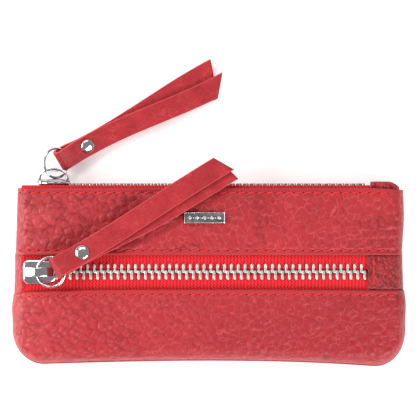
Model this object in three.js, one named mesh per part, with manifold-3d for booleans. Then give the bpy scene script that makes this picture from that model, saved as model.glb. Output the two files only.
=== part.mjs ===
// A small leather pouch with two zippers. It lies on its back: +X runs along the
// zippers, +Y towards the top zipper and +Z out of the front. The origin is the
// middle of the flat back face. All sizes are in millimetres.
import * as THREE from 'three';
import { mergeVertices } from 'three/addons/utils/BufferGeometryUtils.js';
import Module from 'manifold-3d';

const wasm = await Module();
wasm.setup();

// Pouch outline
const TOP_EDGE = 32.8;
const BOTTOM_EDGE = -31.7;
const HALF_WIDTH_TOP = 71.4;
const HALF_WIDTH_BOTTOM = 73.2;
const CORNER_RADIUS = 10;
const BOTTOM_SAG = 2.4;

// Build-up, from the back face to the front face
const THICKNESS = 13.5;
const LEATHER = 1.1;
const LINING = 0.4;
const GAP = 0.3;
const CAVITY = 4.4;
const EDGE_ROLL = 4.2;
const BACK_SEAM = 3.95;
const FRONT_SEAM = 6.45;
const MIDDLE_SEAM = 5.2;

// Front window, where the front zipper shows
const WINDOW_TOP = 7.85;
const WINDOW_BOTTOM = -4.8;

// Zipper chain
const TOOTH_PITCH = 2.54;
const TOOTH_WIDTH = 1;
const CHAIN_HALF_WIDTH = 2.95;
const CHAIN_HALF_DEPTH = 1.3;
const TOOTH_OVERLAP = 0.6;
const BEAD_INNER = 2.1;
const TAPE = 0.5;
const TAPE_INNER = 3.25;

// Slider, with x measured from its mouth, where the two rows part
const SLIDER_LENGTH = 12.4;
const SLIDER_HALF_WIDTH = 4.6;
const TAIL_HALF_WIDTH = 4;
const PLATE_INNER = 1.6;
const PLATE_OUTER = 2.5;
const CROWN_LENGTH = 11.2;
const CROWN_HEIGHT = 4.2;
const CROWN_WIDTH = 2.7;
const CROWN_STOCK = 0.8;

// Ring, and the folded strap that hangs on it
const RING_RADIUS = 5.5;
const WIRE_RADIUS = 0.5;
const RING_HEIGHT = 3.3;
const STRAP_WIDTH = 7.8;
const STRAP_LEATHER = 1.15;
const FOLD_HALF_GAP = 1.35;
const LAYER_HALF_GAP = 0.15;
const FOLD_BACK = 0;
const STRAP_CLEARANCE = 0.3;
const RIVET_AT = 9.85;
const RIVET_RADIUS = 2.75;
const POST_RADIUS = 1;

const FRONT_CHAIN_Y = 1.7;
const TOP_CHAIN_Y = 33.3;
const FRONT_TAPE_TOP = THICKNESS - LEATHER - GAP;
const FRONT_CHAIN_Z = FRONT_TAPE_TOP - TAPE / 2;
const MID_PLANE = THICKNESS / 2;

const leather = material(0xb8333c, 0.55);
const strapLeather = material(0xb5353d, 0.5);
const lining = material(0x8f1f2a, 0.9);
const tape = material(0xd8202e, 0.85);
const nickel = material(0xc9c4bb, 0.3, 1);
const chrome = material(0xe4e6ea, 0.12, 1);
const antiqueSilver = material(0x8a8784, 0.4, 1);
const springSteel = material(0xa9adb2, 0.35, 1);

function material(color, roughness, metalness = 0) {
  return new THREE.MeshStandardMaterial({ color, roughness, metalness });
}

// ---- Solids ----

function toSolid(geometry) {
  const bare = geometry.clone();
  bare.deleteAttribute('normal');
  bare.deleteAttribute('uv');
  const merged = mergeVertices(bare, 1e-4);
  return new wasm.Manifold(new wasm.Mesh({
    numProp: 3,
    vertProperties: new Float32Array(merged.attributes.position.array),
    triVerts: new Uint32Array(merged.index.array),
  }));
}

function toGeometry(solid) {
  const mesh = solid.getMesh();
  const geometry = new THREE.BufferGeometry();
  geometry.setAttribute('position', new THREE.BufferAttribute(mesh.vertProperties, 3));
  geometry.setIndex(new THREE.BufferAttribute(mesh.triVerts, 1));
  geometry.computeVertexNormals();
  return geometry;
}

function join(first, ...others) {
  return toGeometry(others.reduce((sum, other) => sum.add(toSolid(other)), toSolid(first)));
}

function cut(body, ...tools) {
  return toGeometry(tools.reduce((rest, tool) => rest.subtract(toSolid(tool)), toSolid(body)));
}

function addMesh(parent, name, geometry, finish) {
  const mesh = new THREE.Mesh(geometry, finish);
  mesh.name = name;
  parent.add(mesh);
  return mesh;
}

function block(x0, x1, y0, y1, z0, z1) {
  const box = new THREE.BoxGeometry(x1 - x0, y1 - y0, z1 - z0);
  return box.translate((x0 + x1) / 2, (y0 + y1) / 2, (z0 + z1) / 2);
}

function polygon(points) {
  return new THREE.Shape(points.map(([x, y]) => new THREE.Vector2(x, y)));
}

function extrude(shape, depth, curveSegments = 8) {
  return new THREE.ExtrudeGeometry(shape, { depth, bevelEnabled: false, curveSegments });
}

// Moves every point of a geometry to the place that the function gives.
function reshape(geometry, place) {
  const position = geometry.attributes.position;
  for (let i = 0; i < position.count; i += 1) {
    const [x, y, z] = place(position.getX(i), position.getY(i), position.getZ(i));
    position.setXYZ(i, x, y, z);
  }
  geometry.computeVertexNormals();
  return geometry;
}

// ---- Pouch shape ----

function wayDown(y) {
  return (TOP_EDGE - y) / (TOP_EDGE - BOTTOM_EDGE);
}

function halfWidth(y) {
  const side = THREE.MathUtils.lerp(HALF_WIDTH_TOP, HALF_WIDTH_BOTTOM, wayDown(y));
  const run = Math.max(CORNER_RADIUS - (y - BOTTOM_EDGE), 0);
  return side - CORNER_RADIUS + Math.sqrt(CORNER_RADIUS ** 2 - run ** 2);
}

function roundOver(distance) {
  const share = THREE.MathUtils.clamp(distance / EDGE_ROLL, 0, 1);
  return Math.sqrt(1 - (1 - share) ** 2);
}

// 1 over the flat middle of the pouch, falling to 0 at the side and bottom seams
function fullness(x, y) {
  return roundOver(halfWidth(y) - Math.abs(x)) * roundOver(y - BOTTOM_EDGE);
}

function level(height, seam = MIDDLE_SEAM) {
  return (x, y) => THREE.MathUtils.lerp(seam, height, fullness(x, y));
}

const frontOuter = level(THICKNESS, FRONT_SEAM);
const frontInner = (x, y) => frontOuter(x, y) - LEATHER;
const backOuter = level(0, BACK_SEAM);
const backInner = (x, y) => backOuter(x, y) + LEATHER;

const even = (share) => share;
const closeAtBottom = (share) => 1 - Math.cos((share * Math.PI) / 2);

// A soft layer between two height functions. It runs from seam to seam, drawn in by
// an inset, or from one x to another where a span is given.
function sheet({ from, to, lower, upper, inset = 0, span, columns = 18, rows = 6, spread = even }) {
  const grid = new THREE.BoxGeometry(2, 1, 1, columns, rows, 1).translate(0, 0.5, 0.5);
  return reshape(grid, (u, v, w) => {
    const y = THREE.MathUtils.lerp(from, to, spread(v));
    const reach = (halfWidth(y) - inset) * Math.sin((u * Math.PI) / 2);
    const x = span ? THREE.MathUtils.lerp(span[0], span[1], (u + 1) / 2) : reach;
    const z = w > 0.5 ? upper(x, y) : lower(x, y);
    return [x, y - BOTTOM_SAG * (wayDown(y) * x / HALF_WIDTH_BOTTOM) ** 2, z];
  });
}

// ---- Leather panels and end tabs ----

const PLATE_X = -1.6;
const PLATE_Y = 21.7;
const PLATE_LENGTH = 15.1;
const PLATE_WIDTH = 4;
const PLATE_STOCK = 0.85;
const PRONG_AT = 5.4;
const PRONG_LENGTH = 1.2;
const PRONG_STOCK = 0.5;

function prongPair(clearance, bottom, top) {
  return [-PRONG_AT, PRONG_AT].map((offset) => block(
    PLATE_X + offset - PRONG_LENGTH / 2 - clearance,
    PLATE_X + offset + PRONG_LENGTH / 2 + clearance,
    PLATE_Y - PRONG_STOCK / 2 - clearance,
    PLATE_Y + PRONG_STOCK / 2 + clearance,
    bottom,
    top,
  ));
}

function addPanels(pouch) {
  addMesh(pouch, 'back_panel', sheet({
    from: BOTTOM_EDGE, to: TOP_EDGE, lower: backOuter, upper: backInner, rows: 8, spread: closeAtBottom,
  }), leather);
  const upper = sheet({ from: WINDOW_TOP, to: TOP_EDGE, lower: frontInner, upper: frontOuter, rows: 3 });
  const slots = prongPair(GAP, THICKNESS - 3 * LEATHER, THICKNESS + LEATHER);
  addMesh(pouch, 'front_upper_panel', cut(upper, ...slots), leather);
  addMesh(pouch, 'front_lower_panel', sheet({
    from: BOTTOM_EDGE, to: WINDOW_BOTTOM, lower: frontInner, upper: frontOuter, spread: closeAtBottom,
  }), leather);
}

function addEndTabs(pouch) {
  const window = { from: WINDOW_BOTTOM + GAP, to: WINDOW_TOP - GAP, lower: frontInner, upper: frontOuter };
  addMesh(pouch, 'front_zip_end_tab_left', sheet({
    ...window, span: [-71.2, -69.5], columns: 2, rows: 2,
  }), leather);
  addMesh(pouch, 'front_zip_end_tab_right', sheet({
    ...window, span: [58.9, 71], columns: 8, rows: 2,
  }), leather);
  const [side, top, foot] = [4.3, 35.2, 29.5];
  const fold = polygon([
    [-side, foot], [-side, top], [side, top], [side, foot],
    [side - LEATHER, foot], [side - LEATHER, top - LEATHER],
    [LEATHER - side, top - LEATHER], [LEATHER - side, foot],
  ]);
  const tab = extrude(fold, 8.4).rotateY(Math.PI / 2).translate(60.4, 0, MID_PLANE);
  addMesh(pouch, 'top_zip_end_tab', tab, leather);
}

function addNamePlate(pouch) {
  const seat = THICKNESS + 0.2;
  const plate = block(
    PLATE_X - PLATE_LENGTH / 2,
    PLATE_X + PLATE_LENGTH / 2,
    PLATE_Y - PLATE_WIDTH / 2,
    PLATE_Y + PLATE_WIDTH / 2,
    seat,
    seat + PLATE_STOCK,
  );
  const backingTop = THICKNESS - LEATHER - GAP;
  const backingBottom = backingTop - 0.5;
  const prongs = prongPair(0, backingBottom - 0.2, seat + PLATE_STOCK / 2);
  addMesh(pouch, 'name_plate', join(plate, ...prongs), antiqueSilver);
  const backing = block(
    PLATE_X - PLATE_LENGTH / 2 + 1,
    PLATE_X + PLATE_LENGTH / 2 - 1,
    PLATE_Y - PLATE_WIDTH / 2 + 0.5,
    PLATE_Y + PLATE_WIDTH / 2 - 0.5,
    backingBottom,
    backingTop,
  );
  const slots = prongPair(GAP, backingBottom - 1, backingTop + 1);
  addMesh(pouch, 'name_plate_backing', cut(backing, ...slots), springSteel);
}

// ---- Linings: two bags, each sewn from a back and a front piece ----

const MOUTH_LINING_END = 22.5;
const LINING_INSET = 6;

function addLinings(pouch) {
  const bottom = BOTTOM_EDGE + LINING_INSET;
  const mainFloor = LEATHER + GAP;
  const mainRoof = mainFloor + LINING + CAVITY;
  const pocketFloor = mainRoof + LINING + GAP;
  const pocketRoof = pocketFloor + LINING + CAVITY;
  const bag = { from: bottom, inset: LINING_INSET, columns: 12, rows: 5, spread: closeAtBottom };
  addMesh(pouch, 'main_lining_back', sheet({
    ...bag, to: MOUTH_LINING_END, lower: level(mainFloor), upper: level(mainFloor + LINING),
  }), lining);

  // The front piece lies low behind the pocket, then rises to the mouth.
  const mouthRise = 4.4;
  const rise = (y) => mouthRise * THREE.MathUtils.smoothstep(y, WINDOW_TOP + 2, MOUTH_LINING_END - 3);
  addMesh(pouch, 'main_lining_front', sheet({
    ...bag,
    to: MOUTH_LINING_END,
    rows: 10,
    spread: even,
    lower: (x, y) => level(mainRoof + rise(y))(x, y),
    upper: (x, y) => level(mainRoof + LINING + rise(y))(x, y),
  }), lining);
  addMesh(pouch, 'pocket_lining_back', sheet({
    ...bag, to: WINDOW_TOP + 1, lower: level(pocketFloor), upper: level(pocketFloor + LINING),
  }), lining);
  addMesh(pouch, 'pocket_lining_front', sheet({
    ...bag, to: WINDOW_BOTTOM - 5, lower: level(pocketRoof), upper: level(pocketRoof + LINING),
  }), lining);
}

// ---- Zippers ----

// One row of teeth on its bead cord, in the chain's own frame: x along, y across.
function toothRow(start, count, side) {
  const points = [[start, side * BEAD_INNER], [start, side * CHAIN_HALF_WIDTH]];
  const end = start + count * TOOTH_PITCH;
  points.push([end, side * CHAIN_HALF_WIDTH], [end, side * BEAD_INNER]);
  const lag = (side > 0 ? 0.5 : 1) * (TOOTH_PITCH / 2);
  for (let i = count - 1; i >= 0; i -= 1) {
    const left = start + lag + i * TOOTH_PITCH - (TOOTH_WIDTH / 2) * (side > 0 ? 1 : 0);
    const right = left + TOOTH_WIDTH;
    points.push([right, side * BEAD_INNER], [right, -side * TOOTH_OVERLAP]);
    points.push([left, -side * TOOTH_OVERLAP], [left, side * BEAD_INNER]);
  }
  return extrude(polygon(points), 2 * CHAIN_HALF_DEPTH).translate(0, 0, -CHAIN_HALF_DEPTH);
}

function addChain(chain, prefix, sides, mouth, count) {
  const start = mouth + 5.5;
  addMesh(chain, `${prefix}_teeth_${sides[0]}`, toothRow(start, count, 1), nickel);
  addMesh(chain, `${prefix}_teeth_${sides[1]}`, toothRow(start, count, -1), nickel);
  const [inner, outer, depth] = [1.6, 2.9, 1.2];
  addMesh(chain, `${prefix}_top_stop_${sides[0]}`, block(
    mouth + 0.3, mouth + 1.7, inner, outer, -depth, depth,
  ), nickel);
  addMesh(chain, `${prefix}_top_stop_${sides[1]}`, block(
    mouth + 0.3, mouth + 1.7, -outer, -inner, -depth, depth,
  ), nickel);
  const end = start + (count + 0.5) * TOOTH_PITCH;
  addMesh(chain, `${prefix}_bottom_stop`, block(end, end + 2, -1.9, 1.9, -depth, 0.2), nickel);
}

function sliderPlate(bottom, top) {
  const [corner, shoulder] = [1.6, 7];
  const outline = polygon([
    [0, corner - SLIDER_HALF_WIDTH], [corner, -SLIDER_HALF_WIDTH], [shoulder, -SLIDER_HALF_WIDTH],
    [shoulder + 1.2, -TAIL_HALF_WIDTH], [SLIDER_LENGTH - corner, -TAIL_HALF_WIDTH],
    [SLIDER_LENGTH, corner - TAIL_HALF_WIDTH], [SLIDER_LENGTH, TAIL_HALF_WIDTH - corner],
    [SLIDER_LENGTH - corner, TAIL_HALF_WIDTH], [shoulder + 1.2, TAIL_HALF_WIDTH],
    [shoulder, SLIDER_HALF_WIDTH], [corner, SLIDER_HALF_WIDTH], [0, SLIDER_HALF_WIDTH - corner],
  ]);
  return extrude(outline, top - bottom).translate(0, 0, bottom);
}

// Two plates joined by the wedge that parts the rows, with flanges that guide the tape
function sliderBody() {
  const overlap = 0.4;
  const flanges = [];
  for (const side of [-1, 1]) {
    const [near, far] = [3.35 * side, TAIL_HALF_WIDTH * side].sort((a, b) => a - b);
    flanges.push(block(2, SLIDER_LENGTH - 1.8, near, far, 0.6, PLATE_INNER + overlap));
    flanges.push(block(2, SLIDER_LENGTH - 1.8, near, far, -PLATE_INNER - overlap, -0.6));
  }
  const wedgeDepth = PLATE_INNER + overlap;
  const wedge = extrude(polygon([[0.7, -0.9], [3.2, -0.9], [5, 0], [3.2, 0.9], [0.7, 0.9]]), 2 * wedgeDepth);
  return join(
    sliderPlate(PLATE_INNER, PLATE_OUTER),
    sliderPlate(-PLATE_OUTER, -PLATE_INNER),
    wedge.translate(0, 0, -wedgeDepth),
    ...flanges,
  );
}

// Turns an outline drawn in x and height into a solid as wide as given, across the chain.
function upright(shape, width, curveSegments) {
  return extrude(shape, width, curveSegments).rotateX(Math.PI / 2).translate(0, width / 2, 0);
}

function crown() {
  const middle = SLIDER_LENGTH / 2;
  const foot = PLATE_OUTER + GAP;
  const arch = new THREE.Shape();
  arch.absellipse(middle, foot, CROWN_LENGTH / 2, CROWN_HEIGHT, 0, Math.PI, false);
  arch.absellipse(middle, foot, CROWN_LENGTH / 2 - CROWN_STOCK, CROWN_HEIGHT - CROWN_STOCK, Math.PI, 0, true);
  return upright(arch, CROWN_WIDTH, 10);
}

function lockSpring() {
  const top = PLATE_OUTER + GAP + CROWN_HEIGHT - CROWN_STOCK - 0.55;
  const middle = SLIDER_LENGTH / 2;
  return block(middle - 1.7, middle + 1.7, -1, 1, top - 0.25, top);
}

const smooth = (value, from, to) => THREE.MathUtils.smoothstep(value, from, to);

// The two faces of a folded strap, in its own frame: s along it, w out of its face.
function strapOutline(wireRise, length, tailStep) {
  const middle = (s) => (wireRise / 2) * (1 - smooth(s, 3, 9));
  const half = (s) => THREE.MathUtils.lerp(FOLD_HALF_GAP, LAYER_HALF_GAP, smooth(s, 3, 9));
  const stations = [-FOLD_BACK, 3, 4.5, 6, 7.5, 9];
  const tail = [15, 24, 34, 44, 54];
  const upperRun = [...stations, ...tail, length - tailStep];
  const lowerRun = [...stations, ...tail, length];
  const face = (run, side, offset) => run.map((s) => [s, middle(s) + side * (half(s) + offset)]);
  const turn = (radius, from, to) => {
    const steps = 6;
    return Array.from({ length: steps - 1 }, (_, i) => {
      const angle = from + ((to - from) * (i + 1)) / steps;
      return [-FOLD_BACK + radius * Math.cos(angle), middle(0) + radius * Math.sin(angle)];
    });
  };
  return [
    ...face(lowerRun, -1, STRAP_LEATHER).reverse(),
    ...turn(FOLD_HALF_GAP + STRAP_LEATHER, 1.5 * Math.PI, 0.5 * Math.PI),
    ...face(upperRun, 1, STRAP_LEATHER),
    ...face(upperRun, 1, 0).reverse(),
    ...turn(FOLD_HALF_GAP, 0.5 * Math.PI, 1.5 * Math.PI),
    ...face(lowerRun, -1, 0),
  ];
}

// Bends points of the strap's frame: the tails part sideways and the strap settles
// from the ring down onto what lies under it, turning level as it goes.
function settle(strap) {
  const ease = (s) => 1 - Math.exp(-Math.max(s, 0) / 12);
  return (s, t, w) => {
    const splay = (w > 0 ? strap.upperSplay : strap.lowerSplay) * smooth(s, 14, strap.length);
    const across = t + splay;
    const angle = strap.roll * ease(s);
    const y = across * Math.cos(angle) - w * Math.sin(angle);
    const z = across * Math.sin(angle) + w * Math.cos(angle);
    return [s, y, z - strap.drop * ease(s)];
  };
}

function rivetCap() {
  const [rim, crownTop, bore] = [0.5, 1.3, POST_RADIUS + 0.2];
  const profile = [[0, crownTop], [0.9, 1.24], [1.8, 1.02], [2.4, 0.72], [RIVET_RADIUS, rim - 0.1],
    [RIVET_RADIUS, 0], [bore, 0], [bore, rim + 0.1], [0, rim + 0.1]];
  const points = profile.reverse().map(([x, y]) => new THREE.Vector2(x, y));
  return new THREE.LatheGeometry(points, 14).rotateX(Math.PI / 2);
}

function rivetPost(length) {
  const [flangeRadius, flangeStock] = [2.3, 0.4];
  const profile = [[0, -flangeStock], [flangeRadius, -flangeStock], [flangeRadius, 0],
    [POST_RADIUS, 0], [POST_RADIUS, length], [0, length]];
  const points = profile.map(([x, y]) => new THREE.Vector2(x, y));
  return new THREE.LatheGeometry(points, 12).rotateX(Math.PI / 2);
}

// A ring through the crown, and a strap folded over the ring. `turn` swings the ring's
// hinge line about the slider's normal and `lift` raises the ring off the plate.
function pullFrame(zip) {
  const hinge = new THREE.Vector3(zip.ringAt, 0, RING_HEIGHT);
  const along = new THREE.Vector3(-Math.sin(zip.turn), Math.cos(zip.turn), 0);
  const flat = new THREE.Vector3(Math.cos(zip.turn), Math.sin(zip.turn), 0);
  const up = new THREE.Vector3(0, 0, 1);
  const out = flat.multiplyScalar(Math.cos(zip.lift)).addScaledVector(up, Math.sin(zip.lift));
  const centre = hinge.clone().addScaledVector(out, RING_RADIUS);
  const s = new THREE.Vector3(...zip.strapDirection).normalize();
  const reach = along.clone().multiplyScalar(s.dot(along)).addScaledVector(out, s.dot(out)).normalize();
  const ringNormal = new THREE.Vector3().crossVectors(out, along).normalize();
  const t = new THREE.Vector3().crossVectors(ringNormal, reach).normalize();
  if (new THREE.Vector3().crossVectors(s, t).dot(new THREE.Vector3(...zip.faceUp)) < 0) t.negate();
  const w = new THREE.Vector3().crossVectors(s, t);
  const chord = Math.sqrt(RING_RADIUS ** 2 - (STRAP_WIDTH / 2) ** 2);
  const eye = centre.clone().addScaledVector(reach, chord);
  const wireRise = (RING_RADIUS - chord) * reach.dot(w);
  return { hinge, along, out, centre, ringNormal, eye, s, t, w, wireRise };
}

function addPull(slider, prefix, zip) {
  const frame = pullFrame(zip);
  const ring = new THREE.TorusGeometry(RING_RADIUS, WIRE_RADIUS, 8, 26);
  const ringMesh = addMesh(slider, `${prefix}_ring`, ring, chrome);
  ringMesh.quaternion.setFromUnitVectors(new THREE.Vector3(0, 0, 1), frame.ringNormal);
  ringMesh.position.copy(frame.centre);

  const strap = new THREE.Group();
  strap.matrixAutoUpdate = false;
  strap.matrix.makeBasis(frame.s, frame.t, frame.w).setPosition(frame.eye);
  slider.add(strap);
  const outline = polygon(strapOutline(frame.wireRise, zip.length, zip.tailStep));
  const folded = upright(outline, STRAP_WIDTH);
  const halfStack = LAYER_HALF_GAP + STRAP_LEATHER;
  const hole = new THREE.CylinderGeometry(POST_RADIUS + GAP, POST_RADIUS + GAP, 4 * halfStack, 16);
  hole.rotateX(Math.PI / 2).translate(RIVET_AT, 0, 0);
  const bend = settle(zip);
  addMesh(strap, `${prefix}_pull_strap`, reshape(cut(folded, hole), bend), strapLeather);
  const cap = rivetCap().translate(RIVET_AT, 0, halfStack + STRAP_CLEARANCE);
  addMesh(strap, `${prefix}_pull_rivet_cap`, reshape(cap, bend), chrome);
  const post = rivetPost(2 * halfStack + 0.5).translate(RIVET_AT, 0, -halfStack - STRAP_CLEARANCE);
  addMesh(strap, `${prefix}_pull_rivet_post`, reshape(post, bend), chrome);
}

function addSlider(chain, prefix, zip) {
  const slider = new THREE.Group();
  slider.position.x = zip.mouth;
  chain.add(slider);
  addMesh(slider, `${prefix}_slider_body`, sliderBody(), chrome);
  addMesh(slider, `${prefix}_slider_crown`, crown(), chrome);
  addMesh(slider, `${prefix}_slider_lock_spring`, lockSpring(), springSteel);
  addPull(slider, prefix, zip);
}

const degrees = THREE.MathUtils.degToRad;

const frontZip = {
  mouth: -68.9,
  teeth: 48,
  ringAt: 5.2,
  turn: 0,
  lift: degrees(15),
  strapDirection: [Math.cos(degrees(31)), Math.sin(degrees(31)), 0],
  faceUp: [0, 0, 1],
  length: 73.6,
  tailStep: 2,
  upperSplay: 1.5,
  lowerSplay: -3,
  roll: degrees(7.6),
  drop: 1.1,
};

// The top chain faces +Y, so its strap points along the chain and outwards.
const topZip = {
  mouth: -64.1,
  teeth: 46,
  ringAt: 7.1,
  turn: degrees(-50),
  lift: degrees(90),
  strapDirection: [Math.cos(degrees(30)), 0, Math.sin(degrees(30))],
  faceUp: [0, -1, 0],
  length: 65,
  tailStep: 1,
  upperSplay: -3.3,
  lowerSplay: 3.3,
  roll: degrees(-22),
  drop: 3,
};

function addFrontZipper(pouch) {
  const [left, right, hidden] = [-67.9, 66, 4.4];
  addMesh(pouch, 'front_zip_tape_upper', block(
    left, right, FRONT_CHAIN_Y + TAPE_INNER, WINDOW_TOP + hidden, FRONT_TAPE_TOP - TAPE, FRONT_TAPE_TOP,
  ), tape);
  addMesh(pouch, 'front_zip_tape_lower', block(
    left, right, WINDOW_BOTTOM - hidden, FRONT_CHAIN_Y - TAPE_INNER, FRONT_TAPE_TOP - TAPE, FRONT_TAPE_TOP,
  ), tape);
  const chain = new THREE.Group();
  chain.position.set(0, FRONT_CHAIN_Y, FRONT_CHAIN_Z);
  pouch.add(chain);
  addChain(chain, 'front_zip', ['upper', 'lower'], frontZip.mouth, frontZip.teeth);
  addSlider(chain, 'front_zip', frontZip);
}

// Each tape half leaves the chain level and turns down inside the leather.
function topTape(side) {
  const [bendInner, bendOuter, depth] = [4.9, 5.3, 9];
  const section = polygon([
    [side * TAPE_INNER, TAPE / 2], [side * bendOuter, TAPE / 2], [side * bendOuter, -depth],
    [side * bendInner, -depth], [side * bendInner, -TAPE / 2], [side * TAPE_INNER, -TAPE / 2],
  ]);
  const [left, right] = [-66, 60];
  return extrude(section, right - left).rotateX(Math.PI / 2).rotateZ(Math.PI / 2).translate(left, 0, 0);
}

function addTopZipper(pouch) {
  const chain = new THREE.Group();
  chain.position.set(0, TOP_CHAIN_Y, MID_PLANE);
  chain.rotation.x = -Math.PI / 2;
  pouch.add(chain);
  addMesh(chain, 'top_zip_tape_back', topTape(1), tape);
  addMesh(chain, 'top_zip_tape_front', topTape(-1), tape);
  addChain(chain, 'top_zip', ['back', 'front'], topZip.mouth, topZip.teeth);
  addSlider(chain, 'top_zip', topZip);
}

const pouch = new THREE.Group();
addPanels(pouch);
addEndTabs(pouch);
addNamePlate(pouch);
addLinings(pouch);
addFrontZipper(pouch);
addTopZipper(pouch);

export default pouch;
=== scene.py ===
# The zippered pouch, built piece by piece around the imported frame. Lengths are written
# in millimetres and turned into metres when a mesh is made.
import math

import bmesh
import bpy
import numpy as np
from mathutils import Matrix, Vector, noise


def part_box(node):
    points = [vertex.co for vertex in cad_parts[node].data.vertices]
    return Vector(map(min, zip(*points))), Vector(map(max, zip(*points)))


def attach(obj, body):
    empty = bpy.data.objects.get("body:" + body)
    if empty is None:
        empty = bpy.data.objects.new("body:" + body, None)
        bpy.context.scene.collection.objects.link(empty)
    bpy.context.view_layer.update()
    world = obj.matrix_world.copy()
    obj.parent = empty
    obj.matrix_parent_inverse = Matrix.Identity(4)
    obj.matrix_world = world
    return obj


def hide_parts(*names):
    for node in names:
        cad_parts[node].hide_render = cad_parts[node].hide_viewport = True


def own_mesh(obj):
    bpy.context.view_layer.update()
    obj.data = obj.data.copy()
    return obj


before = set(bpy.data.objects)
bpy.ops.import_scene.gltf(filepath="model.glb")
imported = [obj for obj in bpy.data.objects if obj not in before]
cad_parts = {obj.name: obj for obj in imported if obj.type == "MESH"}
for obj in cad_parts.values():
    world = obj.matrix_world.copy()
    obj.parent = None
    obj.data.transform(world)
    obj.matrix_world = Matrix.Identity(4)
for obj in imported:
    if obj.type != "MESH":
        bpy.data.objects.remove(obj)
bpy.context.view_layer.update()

MM = 0.001


def node_box(node):
    """A CAD node's lowest and highest corners, in millimetres."""
    low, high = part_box(node)
    return [value / MM for value in low], [value / MM for value in high]


# ---- Driving dimensions, read from the frame ----

UPPER_HIGH = node_box("front_upper_panel")[1]
BACK_LOW = node_box("back_panel")[0]
LOWER_HIGH = node_box("front_lower_panel")[1]
PLATE_LOW, PLATE_HIGH = node_box("name_plate")
TAPE_LOW, TAPE_HIGH = node_box("front_zip_tape_upper")

TOP_EDGE = UPPER_HIGH[1]
BOTTOM_SAG = 2.4
BOTTOM_EDGE = BACK_LOW[1] + 1.8
THICKNESS = UPPER_HIGH[2]
LEATHER = 1.1
WINDOW_TOP = 7.85
WINDOW_BOTTOM = LOWER_HIGH[1]
HALF_WIDTH_TOP = 71.4
HALF_WIDTH_BOTTOM = 73.2
CORNER_RADIUS = 12.0
EDGE_ROLL = 4.2
FRONT_SEAM = 6.45
BACK_SEAM = 3.95
STITCH_PITCH = 3.5
STITCH_INSET = 1.75

TOOTH_PITCH = 2.54
CHAIN_HALF_WIDTH = 2.95
FRONT_CHAIN_Y = 1.7
FRONT_CHAIN_Z = (TAPE_LOW[2] + TAPE_HIGH[2]) / 2
TOP_CHAIN_Y = 33.3
MID_PLANE = THICKNESS / 2

SLIDER_LENGTH = 12.4
RING_RADIUS = 5.5
WIRE_RADIUS = 0.5
RING_HEIGHT = 3.3
STRAP_WIDTH = 7.8
STRAP_LEATHER = 1.15
FOLD_HALF_GAP = 1.35
LAYER_HALF_GAP = 0.12
RIVET_AT = 9.85


# ---- Camera, lights and floor ----

VIEW_CENTRE = (0.4, 24.6)
VIEW_WIDTH = 155.6
CAMERA_HEIGHT = 1000.0
SENSOR_WIDTH = 36.0
CLIP_END_METRES = 20.0

WHITE = (1.0, 1.0, 1.0, 1.0)
WORLD_STRENGTH = 0.30
FLOOR_SIZE_METRES = 6.0
FLOOR_DROP_METRES = 0.0001
FLOOR_GLOW = 0.3

# Name, place and size in metres, and watts
LIGHTS = (("left_softbox", (-0.75, 0.05, 0.36), (0.6, 0.6), 7.2),
          ("near_softbox", (0.45, -0.6, 0.6), (0.8, 0.4), 8.8),
          ("far_softbox", (-0.15, 0.8, 0.75), (0.9, 0.3), 4.5))


def add_camera():
    data = bpy.data.cameras.new("camera")
    data.sensor_width = SENSOR_WIDTH
    data.lens = SENSOR_WIDTH * (CAMERA_HEIGHT - THICKNESS) / VIEW_WIDTH
    data.clip_end = CLIP_END_METRES
    camera = bpy.data.objects.new("camera", data)
    camera.location = (VIEW_CENTRE[0] * MM, VIEW_CENTRE[1] * MM, CAMERA_HEIGHT * MM)
    bpy.context.collection.objects.link(camera)
    bpy.context.scene.camera = camera


def add_area_light(name, place, size, watts):
    data = bpy.data.lights.new(name, "AREA")
    data.shape = "RECTANGLE"
    data.size, data.size_y = size
    data.energy = watts
    light = bpy.data.objects.new(name, data)
    light.location = place
    light.rotation_euler = (-Vector(place)).to_track_quat("-Z", "Y").to_euler()
    bpy.context.collection.objects.link(light)


def add_stage():
    world = bpy.data.worlds.new("studio")
    world.use_nodes = True
    background = world.node_tree.nodes["Background"]
    background.inputs["Color"].default_value = WHITE
    background.inputs["Strength"].default_value = WORLD_STRENGTH
    bpy.context.scene.world = world
    for light in LIGHTS:
        add_area_light(*light)
    bpy.ops.mesh.primitive_plane_add(size=FLOOR_SIZE_METRES, location=(0.0, 0.0, -FLOOR_DROP_METRES))
    floor = bpy.context.active_object
    floor.name = "floor"
    floor.data.materials.append(floor_material())
    bpy.context.scene.view_settings.view_transform = "Standard"


# ---- Materials ----

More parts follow.
